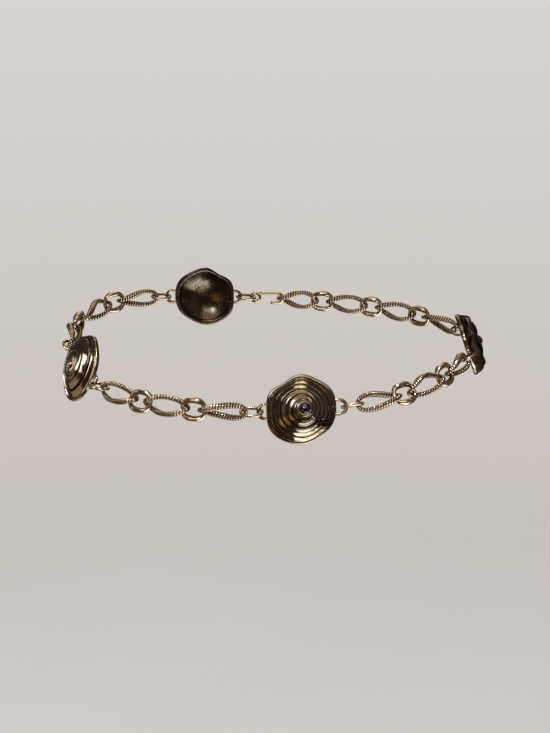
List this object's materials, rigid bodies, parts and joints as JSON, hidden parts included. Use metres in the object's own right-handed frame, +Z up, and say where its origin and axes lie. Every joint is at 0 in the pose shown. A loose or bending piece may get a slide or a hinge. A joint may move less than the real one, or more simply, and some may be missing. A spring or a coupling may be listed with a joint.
{
  "type": "waist chain",
  "caption": "Worn chain belt for the waist: domed medallions with a raised coil, joined by twisted corded links, plain oval rings and jump rings, closed by one plain hook.",
  "frame": {"origin": "middle of the worn loop, where the waist goes, level with the middle of the front medallion", "axes": "+Z up as worn, -Y towards the front medallion, +X along the loop's width"},
  "size_m": [0.3324, 0.2165, 0.1191],
  "materials": {
    "antique_gold": "polished antiqued gold plate, dark in the grooves",
    "corded_gold": "bright gold plate over a finely ribbed cord",
    "polished_gold": "smooth polished gold plate"
  },
  "bodies": {
    "root": {"medallion_front": "antique_gold", "medallion_right": "antique_gold", "medallion_back": "antique_gold", "medallion_left": "antique_gold", "corded_link_1": "corded_gold", "corded_link_2": "corded_gold", "corded_link_3": "corded_gold", "corded_link_4": "corded_gold", "corded_link_5": "corded_gold", "corded_link_6": "corded_gold", "corded_link_7": "corded_gold", "corded_link_8": "corded_gold", "corded_link_9": "corded_gold", "corded_link_10": "corded_gold", "corded_link_11": "corded_gold", "corded_link_12": "corded_gold", "corded_link_13": "corded_gold", "plain_ring_1": "polished_gold", "plain_ring_2": "polished_gold", "plain_ring_3": "polished_gold", "plain_ring_4": "polished_gold", "plain_ring_5": "polished_gold", "plain_ring_6": "polished_gold", "plain_ring_7": "polished_gold", "plain_ring_8": "polished_gold", "plain_ring_9": "polished_gold", "jump_ring_1": "polished_gold", "jump_ring_2": "polished_gold", "jump_ring_3": "polished_gold", "jump_ring_4": "polished_gold", "jump_ring_5": "polished_gold", "jump_ring_6": "polished_gold", "jump_ring_7": "polished_gold", "jump_ring_8": "polished_gold", "hook_clasp": "polished_gold"}
  },
  "joints": []
}
